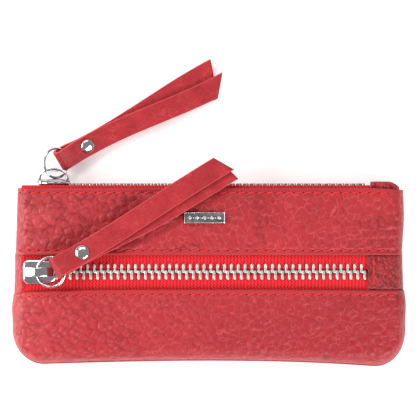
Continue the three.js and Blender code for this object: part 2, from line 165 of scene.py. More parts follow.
class Paint:
    """A node material with short calls for the nodes that it needs."""

    def __init__(self, name, roughness=0.5, metallic=0.0):
        self.material = bpy.data.materials.new(name)
        self.material.use_nodes = True
        self.nodes = self.material.node_tree.nodes
        self.links = self.material.node_tree.links
        self.shader = self.nodes["Principled BSDF"]
        self.shader.inputs["Roughness"].default_value = roughness
        self.shader.inputs["Metallic"].default_value = metallic
        self.place = self.add("ShaderNodeTexCoord").outputs["Object"]

    def add(self, kind, **settings):
        node = self.nodes.new(kind)
        for key, value in settings.items():
            setattr(node, key, value)
        return node

    def wire(self, source, socket):
        if isinstance(source, bpy.types.NodeSocket):
            self.links.new(source, socket)
        else:
            socket.default_value = source

    def maths(self, operation, *values):
        node = self.add("ShaderNodeMath", operation=operation)
        for value, socket in zip(values, node.inputs):
            self.wire(value, socket)
        return node.outputs[0]

    def times(self, first, second):
        return self.maths("MULTIPLY", first, second)

    def ramp(self, value, low, high, start=0.0, end=1.0):
        """Runs smoothly from `start` to `end` while the value goes from low to high."""
        node = self.add("ShaderNodeMapRange", interpolation_type="SMOOTHSTEP")
        for key, item in (("Value", value), ("From Min", low), ("From Max", high),
                          ("To Min", start), ("To Max", end)):
            self.wire(item, node.inputs[key])
        return node.outputs[0]

    def noise(self, scale, detail=2.0, output="Fac"):
        node = self.add("ShaderNodeTexNoise")
        self.wire(self.place, node.inputs["Vector"])
        node.inputs["Scale"].default_value = scale
        node.inputs["Detail"].default_value = detail
        return node.outputs[output]

    def cells(self, scale, place, feature="DISTANCE_TO_EDGE"):
        node = self.add("ShaderNodeTexVoronoi", feature=feature)
        self.wire(place, node.inputs["Vector"])
        node.inputs["Scale"].default_value = scale
        if feature == "SMOOTH_F1":
            node.inputs["Smoothness"].default_value = 0.5
        return node.outputs["Distance"]

    def warped(self, scale, amount, stretch=(1.0, 1.0, 1.0)):
        """The object's own coordinates, pushed about by noise and stretched."""
        shift = self.add("ShaderNodeVectorMath", operation="MULTIPLY_ADD")
        self.wire(self.noise(scale, output="Color"), shift.inputs[0])
        shift.inputs[1].default_value = (amount, amount, amount)
        self.wire(self.place, shift.inputs[2])
        scaled = self.add("ShaderNodeVectorMath", operation="MULTIPLY")
        self.wire(shift.outputs[0], scaled.inputs[0])
        scaled.inputs[1].default_value = stretch
        return scaled.outputs[0]

    def blend(self, share, first, second):
        node = self.add("ShaderNodeMix", data_type="RGBA")
        self.wire(share, node.inputs["Factor"])
        for colour, key in ((first, "A"), (second, "B")):
            socket = [i for i in node.inputs if i.name == key and i.type == "RGBA"][0]
            value = colour if isinstance(colour, bpy.types.NodeSocket) else (*colour, 1.0)
            self.wire(value, socket)
        return [o for o in node.outputs if o.type == "RGBA"][0]

    def bump(self, height, depth, strength=1.0, after=None):
        node = self.add("ShaderNodeBump")
        self.wire(height, node.inputs["Height"])
        node.inputs["Distance"].default_value = depth
        node.inputs["Strength"].default_value = strength
        if after is not None:
            self.wire(after, node.inputs["Normal"])
        return node.outputs[0]

    def finish(self, colour, normal=None, roughness=None):
        for source, key in ((colour, "Base Color"), (normal, "Normal"), (roughness, "Roughness")):
            if source is not None:
                self.wire(source, self.shader.inputs[key])
        return self.material


RED_DEEP = (0.13, 0.004, 0.008)
RED_SHADE = (0.34, 0.014, 0.020)
RED_BODY = (0.42, 0.020, 0.026)
RED_LIGHT = (0.66, 0.095, 0.100)
RED_TAPE = (0.95, 0.012, 0.024)


def floor_material():
    paint = Paint("floor_paper", roughness=0.9)
    paint.shader.inputs["Emission Color"].default_value = WHITE
    paint.shader.inputs["Emission Strength"].default_value = FLOOR_GLOW
    grain = paint.noise(300.0)
    return paint.finish(paint.blend(grain, (0.93, 0.93, 0.93), (0.95, 0.95, 0.95)))


def pebbled_leather(name, cell_size, stretch, light_lines, dark_lines, hems=(), drift=0.2):
    """Full-grain leather: soft pebbles, broken creases and fine pores, pressed flat
    along the hems, which are the heights on the pouch of its folded edges. The `drift`
    says how much the creases turn from dark at the left end to pale at the right."""
    paint = Paint(name)
    paint.shader.inputs["Specular IOR Level"].default_value = 0.42
    split = paint.add("ShaderNodeSeparateXYZ")
    paint.wire(paint.place, split.inputs[0])
    grain = 1.0
    for hem in hems:
        away = paint.maths("ABSOLUTE", paint.maths("SUBTRACT", split.outputs[1], hem * MM))
        grain = paint.times(grain, paint.ramp(away, 1.3 * MM, 2.3 * MM, 0.15, 1.0))
    place = paint.warped(150.0, 0.0022, stretch)
    dome = paint.ramp(paint.cells(1.0 / (cell_size * MM), place, "SMOOTH_F1"), 0.7, 0.1)
    valley = paint.cells(1.0 / (cell_size * MM), place)
    scratchy = paint.warped(200.0, 0.0012, (stretch[0] * 1.15, stretch[1] * 0.75, 1.0))
    small = paint.cells(1.15 / (cell_size * MM), scratchy)
    pores = paint.noise(2600.0, 4.0)
    rightward = paint.ramp(split.outputs[0], -0.072, 0.03)
    mottle = paint.noise(75.0, 3.0)
    area = paint.maths("ADD", mottle, paint.ramp(rightward, 0.0, 1.0, -0.3 * drift, 0.7 * drift))
    broken = paint.ramp(paint.noise(420.0, 2.0), 0.36, 0.56)
    broad = paint.noise(24.0, 2.0)
    tone = paint.blend(paint.ramp(broad, 0.35, 0.7), RED_BODY, RED_SHADE)
    fleck = paint.times(paint.ramp(pores, 0.45, 0.8), 0.2)
    tone = paint.blend(fleck, tone, RED_LIGHT)
    # Paler towards the left end, in mottled patches: a painted highlight on the rounded left end.
    wear_and_highlight = paint.ramp(split.outputs[0], -0.044, -0.075, 0.0, 0.34)
    tone = paint.blend(paint.times(wear_and_highlight, paint.ramp(mottle, 0.2, 0.6)), tone, RED_LIGHT)
    # Dark lines along the crease valleys: painted shade in the creases.
    dark_line = paint.ramp(valley, 0.0, 0.2, dark_lines, 0.0)
    dark = paint.times(dark_line, paint.ramp(area, 0.64, 0.46))
    dark = paint.times(dark, grain)
    tone = paint.blend(paint.times(dark, broken), tone, RED_DEEP)
    light_line = paint.ramp(small, 0.0, 0.06, light_lines, 0.0)
    light = paint.times(light_line, paint.ramp(area, 0.42, 0.6))
    light = paint.times(light, grain)
    tone = paint.blend(paint.times(light, broken), tone, RED_LIGHT)
    relief = paint.times(grain, paint.ramp(rightward, 0.0, 1.0, 1.0, 0.5))
    normal = paint.bump(paint.times(dome, relief), 0.00045, 0.8)
    normal = paint.bump(paint.times(paint.ramp(valley, 0.0, 0.25), grain), 0.0001, 0.7, normal)
    normal = paint.bump(paint.times(paint.ramp(small, 0.0, 0.2), grain), 0.00007, 0.8, normal)
    normal = paint.bump(pores, 0.00004, 0.6, normal)
    return paint.finish(tone, normal, paint.ramp(pores, 0.2, 0.8, 0.40, 0.56))


def strap_leather():
    paint = Paint("strap_leather_fine")
    paint.shader.inputs["Specular IOR Level"].default_value = 0.35
    place = paint.warped(220.0, 0.002, (1.0, 1.35, 1.0))
    veins = paint.cells(430.0, place)
    crease = paint.ramp(veins, 0.0, 0.14)
    pores = paint.noise(2600.0, 3.0)
    broad = paint.noise(90.0, 3.0)
    tone = paint.blend(paint.ramp(broad, 0.3, 0.72), RED_BODY, RED_SHADE)
    patch = paint.noise(210.0, 3.0)
    light = paint.times(paint.ramp(veins, 0.0, 0.07, 0.4, 0.0), paint.ramp(patch, 0.48, 0.6))
    tone = paint.blend(light, tone, RED_LIGHT)
    # Dark veins along the crease valleys: painted shade in the creases.
    dark = paint.times(paint.ramp(veins, 0.0, 0.1, 0.4, 0.0), paint.ramp(patch, 0.5, 0.38))
    tone = paint.blend(dark, tone, RED_DEEP)
    tone = paint.blend(paint.ramp(pores, 0.45, 0.85, 0.0, 0.25), tone, RED_LIGHT)
    normal = paint.bump(crease, 0.00006, 0.6)
    normal = paint.bump(pores, 0.00003, 0.8, normal)
    return paint.finish(tone, normal, paint.ramp(pores, 0.2, 0.8, 0.42, 0.6))


def raw_edge():
    """The cut edge of the leather: paler, partly from the raw fibres' own colour and partly from a painted
    highlight; fibrous and matte.
    """
    paint = Paint("leather_cut_edge", roughness=0.8)
    fibre = paint.noise(2400.0, 4.0)
    tone = paint.blend(fibre, (0.52, 0.045, 0.05), (0.72, 0.09, 0.09))
    return paint.finish(tone, paint.bump(fibre, 0.00008, 0.8))


def woven(name, colour, shade, thread, depth):
    """A herringbone twill: slanted ribs that turn back every half thread width."""
    paint = Paint(name, roughness=0.85)
    split = paint.add("ShaderNodeSeparateXYZ")
    paint.wire(paint.place, split.inputs[0])
    along, across, up = split.outputs
    rate = 2.0 * math.pi / (thread * MM)
    side = paint.maths("ADD", across, up)
    zigzag = paint.maths("PINGPONG", side, thread * MM * 0.5)
    slanted = paint.maths("SINE", paint.times(paint.maths("ADD", along, zigzag), rate))
    weave = paint.ramp(slanted, -0.9, 0.5)
    fuzz = paint.noise(4200.0, 2.0)
    tone = paint.blend(paint.times(weave, paint.ramp(fuzz, 0.05, 0.6)), shade, colour)
    normal = paint.bump(weave, depth, 0.9)
    normal = paint.bump(fuzz, 0.00003, 0.6, normal)
    return paint.finish(tone, normal)


def thread_material():
    paint = Paint("sewing_thread", roughness=0.6)
    place = paint.warped(400.0, 0.0002, (1.0, 1.6, 1.0))
    twist = paint.add("ShaderNodeTexWave", bands_direction="DIAGONAL")
    paint.wire(place, twist.inputs["Vector"])
    twist.inputs["Scale"].default_value = 1100.0
    strand = twist.outputs["Fac"]
    # The twist's grooves take the darker red: painted shade between the strands.
    tone = paint.blend(strand, (0.60, 0.008, 0.012), (0.95, 0.030, 0.028))
    return paint.finish(tone, paint.bump(strand, 0.00008, 0.8))


def metal(name, colour, wear_and_highlight, roughness, grain=0.00001, shade_scale=260.0, dents=0.00004):
    """Plated metal: faint scuffs, a little colour drift and uneven polish."""
    paint = Paint(name, roughness=roughness, metallic=1.0)
    drift = paint.noise(shade_scale, 3.0)
    scuffs = paint.noise(5200.0, 3.0)
    tone = paint.blend(paint.ramp(drift, 0.35, 0.75), colour, wear_and_highlight)
    rough = paint.ramp(scuffs, 0.3, 0.8, roughness, roughness + 0.12)
    cast = paint.bump(paint.noise(420.0, 1.0), dents, 0.6)
    return paint.finish(tone, paint.bump(scuffs, grain, 0.5, cast), rough)


def hole_material():
    paint = Paint("needle_hole_shade", roughness=0.9)
    fibre = paint.noise(3000.0)
    return paint.finish(paint.blend(fibre, (0.02, 0.001, 0.003), (0.06, 0.003, 0.006)))


MATERIALS = {
    "upper": pebbled_leather("pebbled_leather_upper", 2.9, (0.9, 1.0, 1.0), 0.55, 0.62,
                             (TOP_EDGE, WINDOW_TOP)),
    "lower": pebbled_leather("pebbled_leather_lower", 2.7, (0.85, 1.0, 1.0), 0.42, 0.42,
                             (WINDOW_BOTTOM,)),
    "back": pebbled_leather("pebbled_leather_back", 2.8, (0.9, 1.0, 1.0), 0.6, 0.4, (TOP_EDGE,)),
    # The tabs carry the strongest dark crease lines, which paint them darker: painted shade.
    "tab": pebbled_leather("creased_leather_tab", 1.5, (1.0, 0.8, 1.0), 0.4, 1.0, (), -0.15),
    "strap": strap_leather(),
    "edge": raw_edge(),
    "lining": woven("lining_twill", (0.30, 0.012, 0.02), (0.14, 0.005, 0.01), 1.0, 0.00005),
    "tape": woven("zip_tape_twill", RED_TAPE, (0.42, 0.003, 0.008), 1.25, 0.00016),
    "thread": thread_material(),
    "hole": hole_material(),
    "nickel": metal("warm_nickel", (0.97, 0.95, 0.90), (0.82, 0.79, 0.74), 0.32),
    # A darker copy of the nickel for the top zipper's teeth: painted shade.
    "dull": metal("nickel_with_painted_shade", (0.50, 0.48, 0.45), (0.36, 0.34, 0.32), 0.34),
    "chrome": metal("polished_chrome", (0.68, 0.68, 0.70), (0.56, 0.56, 0.58), 0.07, 0.000004,
                    dents=0.00018),
    # A darker copy of the chrome for the top slider: painted shade standing in for the dark reflections it
    # shows.
    "shaded": metal("chrome_with_painted_shade", (0.46, 0.46, 0.48), (0.30, 0.30, 0.32), 0.1, 0.000004,
                    dents=0.0002),
    "antique": metal("antique_silver", (0.30, 0.29, 0.30), (0.17, 0.16, 0.17), 0.32, 0.00003, 900.0),
    "bright": metal("bright_silver", (0.85, 0.84, 0.82), (0.60, 0.58, 0.57), 0.2),
    "spring": metal("spring_steel", (0.55, 0.56, 0.58), (0.45, 0.46, 0.48), 0.3),
}


# ---- Mesh helpers ----

IDENTITY = Matrix.Identity(4)


def make_piece(name, solid, finish, body, nodes=(), place=IDENTITY):
    """One object from a Solid; it rides on a body and replaces CAD nodes."""
    turned = [(place @ Vector(point)) * MM for point in solid.points]
    mesh = bpy.data.meshes.new(name)
    mesh.from_pydata(turned, [], solid.faces)
    mesh.validate()
    shell = bmesh.new()
    shell.from_mesh(mesh)
    bmesh.ops.recalc_face_normals(shell, faces=shell.faces)
    shell.to_mesh(mesh)
    shell.free()
    piece = bpy.data.objects.new(name, mesh)
    bpy.context.collection.objects.link(piece)
    for key in (finish if isinstance(finish, tuple) else (finish,)):
        mesh.materials.append(MATERIALS[key])
    mesh.shade_smooth()
    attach(piece, body)
    if nodes:
        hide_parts(*nodes)
    return piece


def around(count):
    """Equal steps of a full turn."""
    return [2 * math.pi * step / count for step in range(count)]


class Solid:
    """Gathers the points, in millimetres, and the faces of one mesh."""

    def __init__(self):
        self.points = []
        self.faces = []

    def add(self, points, faces):
        start = len(self.points)
        self.points += [tuple(point) for point in points]
        self.faces += [tuple(start + index for index in face) for face in faces]
        return self

    def loft(self, loops, closed=False):
        """Skins a list of equal point loops, closing the ends unless it is a ring."""
        count, size = len(loops), len(loops[0])
        faces = []
        for i in range(count if closed else count - 1):
            a, b = i * size, ((i + 1) % count) * size
            for j in range(size):
                k = (j + 1) % size
                faces.append((a + j, a + k, b + k, b + j))
        if not closed:
            faces.append(tuple(range(size - 1, -1, -1)))
            faces.append(tuple(range((count - 1) * size, count * size)))
        return self.add([point for loop in loops for point in loop], faces)

    def slab(self, outline, low, high, bevel, dish=0.0):
        """A flat piece with rounded rims, and a dimple in its top where `dish` is set."""
        outline = [Vector(point) for point in outline]
        middle = sum(outline, Vector((0.0, 0.0))) / len(outline)

        def ring(inset, height):
            loop = []
            for point in outline:
                arm = point - middle
                drawn = point - arm.normalized() * min(inset, arm.length * 0.9)
                loop.append((drawn.x, drawn.y, height))
            return loop

        turns = [share * math.pi / 2 for share in (0.0, 0.3, 0.7, 1.0)]
        loops = [ring(bevel * (1 - math.sin(a)), low + bevel * (1 - math.cos(a))) for a in turns]
        loops += [ring(bevel * (1 - math.cos(a)), high - bevel * (1 - math.sin(a))) for a in turns]
        if dish:
            reach = min((point - middle).length for point in outline)
            loops.append(ring(bevel + reach * 0.2, high))
            loops.append(ring(bevel + reach * 0.35, high - dish))
        return self.loft(loops)

    def sphere(self, centre, radii, rings=6, sides=10):
        loops = []
        for i in range(rings + 1):
            angle = math.pi * (0.02 + 0.96 * i / rings)
            loops.append([(centre[0] + radii[0] * math.sin(angle) * math.cos(a),
                           centre[1] + radii[1] * math.sin(angle) * math.sin(a),
                           centre[2] - radii[2] * math.cos(angle)) for a in around(sides)])
        return self.loft(loops)

    def lathe(self, profile, sides=40):
        return self.loft([[(r * math.cos(a), r * math.sin(a), z) for a in around(sides)]
                          for r, z in profile])


def rounded_outline(width, height, radius, corner_steps=4, centre=(0.0, 0.0)):
    points = []
    for index, (sx, sy) in enumerate(((1, 1), (-1, 1), (-1, -1), (1, -1))):
        cx = centre[0] + sx * (width / 2 - radius)
        cy = centre[1] + sy * (height / 2 - radius)
        for step in range(corner_steps + 1):
            angle = (index + step / corner_steps) * math.pi / 2
            points.append((cx + radius * math.cos(angle), cy + radius * math.sin(angle)))
    return points


# ---- Shape of the pouch ----

def way_down(y):
    return (TOP_EDGE - y) / (TOP_EDGE - BOTTOM_EDGE)


def straight_side(y):
    return HALF_WIDTH_TOP + (HALF_WIDTH_BOTTOM - HALF_WIDTH_TOP) * way_down(y)


def bottom_line(x):
    """The lower edge, which turns up into each rounded corner."""
    run = np.clip(np.abs(x) - (HALF_WIDTH_BOTTOM - CORNER_RADIUS), 0.0, CORNER_RADIUS)
    return BOTTOM_EDGE + LEATHER / 2 + CORNER_RADIUS - np.sqrt(CORNER_RADIUS ** 2 - run ** 2)


def round_over(distance):
    share = np.clip(distance / EDGE_ROLL, 0.0, 1.0)
    return np.sqrt(1.0 - (1.0 - share) ** 2)


def fullness(x, y):
    return round_over(straight_side(y) - np.abs(x)) * round_over(y - bottom_line(x))


def sagged(x, y):
    """Height on the pouch after the leather has settled: bowed below, loose at its corners."""
    share = x / HALF_WIDTH_BOTTOM
    bowed = BOTTOM_SAG * way_down(y) ** 4 * share ** 2 * (1.0 + 0.3 * share)
    corner = 0.8 * bell(x + 74.0, 22.0) + 0.9 * bell(x + 74.5, 5.0)
    left_slack = corner * bell(y - WINDOW_BOTTOM, 9.0)
    right_slack = 0.7 * bell(x - 74.0, 9.0) * bell(y - TOP_EDGE, 12.0)
    return y - bowed - left_slack - right_slack


def wave(x, y, size, seed):
    """Soft, slow unevenness between -1 and 1."""
    flat = [noise.noise(Vector((a / size, b / size, seed))) for a, b in zip(np.ravel(x), np.ravel(y))]
    return np.reshape(flat, np.shape(x))


def smooth_climb(share):
    share = np.clip(share, 0.0, 1.0)
    return share * share * (3 - 2 * share)


def bell(distance, width):
    return np.exp(-(distance / width) ** 2)


PLATE_CENTRE = ((PLATE_LOW[0] + PLATE_HIGH[0]) / 2, (PLATE_LOW[1] + PLATE_HIGH[1]) / 2)


def plate_creases(x, y):
    """The leather dips under the name plate and puckers away from it."""
    dx = (x - PLATE_CENTRE[0]) / 8.2
    dy = (y - PLATE_CENTRE[1]) / 2.9
    reach = np.sqrt(dx ** 2 + dy ** 2)
    folds = np.cos(9.0 * np.arctan2(dy, dx) + 1.2 * np.sin(3.0 * dx))
    return -0.16 * bell(reach, 1.1) + 0.09 * folds * bell(reach - 1.5, 0.8)


def stitched_edge(y, edge, inward):
    """A welt beside a folded edge and the groove that the stitches pull into it."""
    depth = (y - edge) * inward
    return 0.22 * bell(depth - 0.75, 0.7) - 0.3 * bell(depth - STITCH_INSET, 0.5)


def front_height(x, y):
    full = FRONT_SEAM + (THICKNESS - FRONT_SEAM) * fullness(x, y)
    ends = 0.85 * bell(straight_side(y) - np.abs(x), 10.0)
    return full - ends + 0.2 * wave(x, y, 17.0, 3.0) + 0.07 * wave(x, y, 5.0, 7.0) - 0.1


def end_creases(x, y):
    """A few long soft creases that run in from the right end of the upper panel."""
    drifted = y - 0.05 * (x - 60.0) - 0.8 * wave(x, y, 9.0, 21.0)
    dents = sum(bell(drifted - line, 0.55) for line in (13.8, 17.0, 20.6))
    return -0.2 * dents * smooth_climb((x - 40.0) / 14.0)


def upper_height(x, y):
    height = front_height(x, y) + plate_creases(x, y) + end_creases(x, y)
    height = height + stitched_edge(y, TOP_EDGE, -1) + stitched_edge(y, WINDOW_TOP, 1)
    return height - 0.5 * bell(TOP_EDGE - y, 1.6)


def lower_height(x, y):
    curl = bell(x + 71.5, 3.2) * bell(y - WINDOW_BOTTOM, 5.0)
    belly = 0.5 * bell(x, 55.0) * bell(y - 0.55 * BOTTOM_EDGE, 12.0)
    return front_height(x, y) + stitched_edge(y, WINDOW_BOTTOM, -1) + belly - 0.9 * curl


def back_height(x, y):
    return BACK_SEAM * (1.0 - fullness(x, y)) + LEATHER


def leather_sheet(y_from, y_to, height, stock, columns=300, rows=60, span=None, bulge=None):
    """A sheet of leather with rounded ends, lofted from side to side."""
    radius = stock / 2
    low, high = y_from + radius, y_to - radius
    bend = [math.pi * step / 6 for step in range(1, 6)]
    face_run = low + (high - low) * np.linspace(0.0, 1.0, rows) ** 1.6
    back_run = np.linspace(high, low, 12)
    base = np.concatenate([face_run, [high] * len(bend), back_run, [low] * len(bend)])
    shift = [0.0] * rows + [math.sin(a) for a in bend]
    shift += [0.0] * len(back_run) + [-math.sin(a) for a in bend]
    drop = [0.0] * rows + [1 - math.cos(a) for a in bend]
    drop += [2.0] * len(back_run) + [1 + math.cos(a) for a in bend]
    shift, drop = radius * np.array(shift), radius * np.array(drop)
    shares = np.linspace(-1.0, 1.0, columns)
    if span:
        x = np.array([[span[0] + (span[1] - span[0]) * (u + 1) / 2] * len(base) for u in shares])
    else:
        eased = 0.4 * shares + 0.6 * np.sin(shares * math.pi / 2)
        x = np.outer(eased, straight_side(base))
    y = np.tile(base, (columns, 1))
    if y_from == BOTTOM_EDGE:
        floor = bottom_line(x)
        y = floor + (y - low) * (high - floor) / (high - low)
    z = height(x, y) - drop
    if bulge is not None:
        x = x + bulge(x, y)
    y = sagged(x, y) + shift
    loops = [list(zip(x[i], y[i], z[i])) for i in range(columns)]
    return Solid().loft(loops)


def add_panels():
    upper = leather_sheet(WINDOW_TOP, TOP_EDGE, upper_height, LEATHER, bulge=shoulder_bulge)
    make_piece("front_upper_leather", upper, "upper", "pouch",
               ("front_upper_panel",))
    lower = leather_sheet(BOTTOM_EDGE, WINDOW_BOTTOM, lower_height, LEATHER, bulge=corner_bulge)
    make_piece("front_lower_leather", lower, "lower", "pouch",
               ("front_lower_panel",))
    back = leather_sheet(BOTTOM_EDGE, TOP_EDGE, back_height, LEATHER, columns=180, rows=70)
    make_piece("back_leather", back, "back", "pouch", ("back_panel",))


def shoulder_bulge(x, y):
    """The right end of the upper panel is a little wider near the mouth."""
    return 1.3 * bell(x - 74.0, 9.0) * smooth_climb((y - 8.0) / 16.0)


def corner_bulge(x, y):
    """The lower panel stands a little proud of the sides just below the window."""
    return np.sign(x) * 0.9 * bell(np.abs(x) - 73.0, 3.0) * bell(y - WINDOW_BOTTOM + 5.0, 6.0)


TAB_LEFT = node_box("front_zip_end_tab_left")
TAB_RIGHT = node_box("front_zip_end_tab_right")
TAB_LEATHER = 1.0
TAB_SEAM_INSET = 2.2


def tab_height(x, y):
    tucked = 1.1 * (bell(y - WINDOW_TOP - 0.9, 0.9) + bell(y - WINDOW_BOTTOM + 0.9, 0.9))
    seam = 0.14 * bell(x - TAB_RIGHT[0][0] - TAB_SEAM_INSET, 0.4)
    return front_height(x, y) - 0.25 + 0.18 * wave(x, y, 2.6, 11.0) - seam - tucked


def add_end_tabs():
    low, high = WINDOW_BOTTOM - 1.0, WINDOW_TOP + 0.9
    left_span = (TAB_LEFT[0][0] - 1.2, TAB_LEFT[1][0] + 0.45)
    left = leather_sheet(low, high, tab_height, TAB_LEATHER, 12, 30, left_span)
    make_piece("front_zip_end_left_leather", left, "tab", "pouch",
               ("front_zip_end_tab_left",))
    right_span = (TAB_RIGHT[0][0], TAB_RIGHT[1][0] + 1.3)
    right = leather_sheet(low, high, tab_height, TAB_LEATHER, 40, 34, right_span)
    make_piece("front_zip_end_right_leather", right, "tab", "pouch",
               ("front_zip_end_tab_right",))
    add_top_end_tab()


def add_top_end_tab():
    """Leather folded over the end of the top zipper; its far end slopes down."""
    low, high = node_box("top_zip_end_tab")
    outer = (high[2] - low[2]) / 2

    def arch(half):
        """The fold from its end: up one side, over the top and down the other."""
        corner = half * 0.35
        crest = high[1] - (outer - half)
        turns = [math.pi * step / 24 for step in range(13)]
        climb = [(half, low[1])]
        climb += [(half - corner * (1 - math.cos(a)), crest - corner * (1 - math.sin(a))) for a in turns]
        return climb + [(-v, y) for v, y in reversed(climb)]

    section = arch(outer) + arch(outer - TAB_LEATHER)[::-1]
    columns = 24
    loops = []
    for i in range(columns + 1):
        share = i / columns
        x = low[0] + (high[0] + 1.9 - low[0]) * share
        slope = 2.0 * max(share - 0.6, 0.0) ** 2 / 0.16
        dip = 0.12 * noise.noise(Vector((x / 2.0, 0.0, 5.0)))
        loops.append([(x, y + (dip - slope) * (y > low[1] + 0.1), MID_PLANE + v) for v, y in section])
    fold = Solid().loft(loops)
    make_piece("top_zip_end_leather", fold, "tab", "pouch", ("top_zip_end_tab",))


# ---- Stitching ----

def stitch(solid, start, end, lift):
    """One thread stitch between two needle holes, rising out of each."""
    start, end = Vector(start), Vector(end)
    along = (end - start).normalized()
    across = along.cross(Vector((0.0, 0.0, 1.0))).normalized()
    loops = []
    stations = 9
    for i in range(stations):
        share = i / (stations - 1)
        swell = math.sin(math.pi * min(max(share, 0.02), 0.98)) ** 0.5
        centre = start.lerp(end, share) + Vector((0.0, 0.0, lift * swell - 0.1))
        centre += across * 0.12 * math.sin(2 * math.pi * share)
        radius = 0.12 + 0.17 * swell
        loops.append([centre + (across * math.cos(a) + Vector((0.0, 0.0, 1.0)) * math.sin(a)) * radius
                      for a in around(8)])
    solid.loft(loops)


def stitch_row(name, y, height, reach):
    """Threads and needle holes along a hem, `reach` to each side of the middle."""
    threads, holes = Solid(), Solid()
    count = int(2 * reach / STITCH_PITCH)
    first = -count * STITCH_PITCH / 2
    at = [first + i * STITCH_PITCH for i in range(count + 1)]
    xs, ys = np.array(at), np.full(len(at), y)
    heights, lines = height(xs, ys), sagged(xs, ys)
    for i in range(count):
        left = (at[i] + 0.35, lines[i] - 0.14, heights[i])
        right = (at[i + 1] - 0.35, lines[i + 1] + 0.14, heights[i + 1])
        stitch(threads, left, right, 0.3)
    for i in range(count + 1):
        holes.sphere((at[i], lines[i] - 0.02, heights[i] - 0.02), (0.42, 0.32, 0.16), 4, 8)
    make_piece(f"{name}_thread", threads, "thread", "pouch")
    make_piece(f"{name}_needle_holes", holes, "hole", "pouch")


def add_stitching():
    stitch_row("top_edge", TOP_EDGE - STITCH_INSET, upper_height, HALF_WIDTH_TOP - 1.2)
    stitch_row("window_top", WINDOW_TOP + STITCH_INSET, upper_height, HALF_WIDTH_TOP - 1.0)
    stitch_row("window_bottom", WINDOW_BOTTOM - STITCH_INSET, lower_height, HALF_WIDTH_TOP - 0.2)
    threads = Solid()
    x = TAB_RIGHT[0][0] + TAB_SEAM_INSET
    for step in range(3):
        y = WINDOW_BOTTOM + 1.6 + step * STITCH_PITCH
        z = float(tab_height(np.array([x]), np.array([y]))[0])
        stitch(threads, (x, y + 0.3, z), (x + 0.15, y + STITCH_PITCH - 0.5, z), 0.1)
    make_piece("end_tab_thread", threads, "thread", "pouch")


# ---- Name plate ----

PLATE_STOCK = 0.85
BORDER_DEPTH = 0.3
LOZENGE_PITCH = 2.7


def add_name_plate():
    cx, cy = PLATE_CENTRE
    length, width = PLATE_HIGH[0] - PLATE_LOW[0], PLATE_HIGH[1] - PLATE_LOW[1]
    top = PLATE_HIGH[2]
    base = top - PLATE_STOCK
    plate = Solid().slab(rounded_outline(length, width, 0.35, 3, (cx, cy)), base, top - 0.25, 0.12)
    for prong in (-1, 1):
        x = cx + prong * 5.4
        plate.slab(rounded_outline(1.2, 0.5, 0.12, 2, (x, cy)), PLATE_LOW[2], base + 0.2, 0.08)
        plate.sphere((cx + prong * 3.1, cy - width / 2 - 0.12, base), (0.5, 0.28, 0.35))
    make_piece("plate_body", plate, "antique", "pouch", ("name_plate",))
    relief = Solid()
    border = ((0.0, 0.35, top - BORDER_DEPTH), (0.16, 0.3, top), (0.4, 0.25, top),
              (0.6, 0.2, top - BORDER_DEPTH))
    loops = []
    for narrower, radius, level in border:
        outline = rounded_outline(length - narrower, width - narrower, radius, 3, (cx, cy))
        loops.append([(x, y, level) for x, y in outline])
    relief.loft(loops, closed=True)
    for sx in (-1, 1):
        for sy in (-1, 1):
            corner = (cx + sx * (length / 2 - 0.2), cy + sy * (width / 2 - 0.2), top - 0.05)
            relief.sphere(corner, (0.36, 0.36, 0.3))
    for index in range(5):
        x = cx + (index - 2) * LOZENGE_PITCH
        leaf = [(x + 0.95 * math.cos(a), cy + 0.8 * math.sin(a)) for a in around(4)]
        relief.slab(leaf, top - 0.3, top - 0.08, 0.12, 0.1)
    for index in range(4):
        relief.sphere((cx + (index - 1.5) * LOZENGE_PITCH, cy, top - 0.25), (0.28, 0.28, 0.2), 4, 8)
    make_piece("plate_relief", relief, "bright", "pouch")
    low, high = node_box("name_plate_backing")
    size = (high[0] - low[0], high[1] - low[1])
    backing = Solid().slab(rounded_outline(*size, 0.4, 3, (cx, cy)), low[2], high[2], 0.1)
    make_piece("plate_backing", backing, "spring", "pouch",
               ("name_plate_backing",))


# ---- Linings ----

LINING_CLOTH = 0.36
LINING_GAP = 0.4


def add_linings():
    """Four cloths, each lying on the one before; they spread apart towards the mouth."""
    for node in ("main_lining_back", "main_lining_front", "pocket_lining_back", "pocket_lining_front"):
        low, high = node_box(node)
        rise = high[2] - low[2] - LINING_GAP

        def height(x, y, low=low, rise=rise):
            return low[2] + LINING_GAP + rise * smooth_climb((y - 9.0) / 10.5)

        span = (low[0], high[0])
        cloth = leather_sheet(low[1] + 0.8, high[1], height, LINING_CLOTH, 90, 40, span)
        piece = make_piece(f"{node}_cloth", cloth, "lining", "pouch", (node,))


# ---- Zippers ----

FRONT_PLACE = Matrix.Translation((0.0, FRONT_CHAIN_Y, FRONT_CHAIN_Z))
TOP_PLACE = Matrix.Translation((0.0, TOP_CHAIN_Y, MID_PLANE)) @ Matrix.Rotation(-math.pi / 2, 4, "X")

PARTING = 2.2          # how far each row moves aside at the slider's far end
FRONT_TRAVEL = 115.0
TOP_TRAVEL = 111.0

# Stretches of a row, by where they end from the open slider's mouth, and how far each parts
ROW_SECTIONS = (("free", -0.6, PARTING), ("mouth", 4.4, 1.32), ("throat", 7.2, 0.62),
                ("closed", 1e3, 0.0))

TOOTH_HALF_HEIGHT = 1.25
DIMPLE_ACROSS = 2.15


def tooth_outline(x, side):
    """One tooth from above: a rounded leg on the tape and a wider hooked head."""
    half = 0.5
    points = []
    for step in range(9):
        angle = math.pi * step / 8
        across = CHAIN_HALF_WIDTH - half + half * math.sin(angle)
        points.append((x + half * math.cos(angle), side * across))
    flank = [(half, 1.5), (0.36, 0.95), (0.56, 0.45), (0.56, -0.1), (0.3, -0.5)]
    points += [(x - along, side * across) for along, across in flank]
    points += [(x + along, side * across) for along, across in reversed(flank)]
    return points if side > 0 else points[::-1]


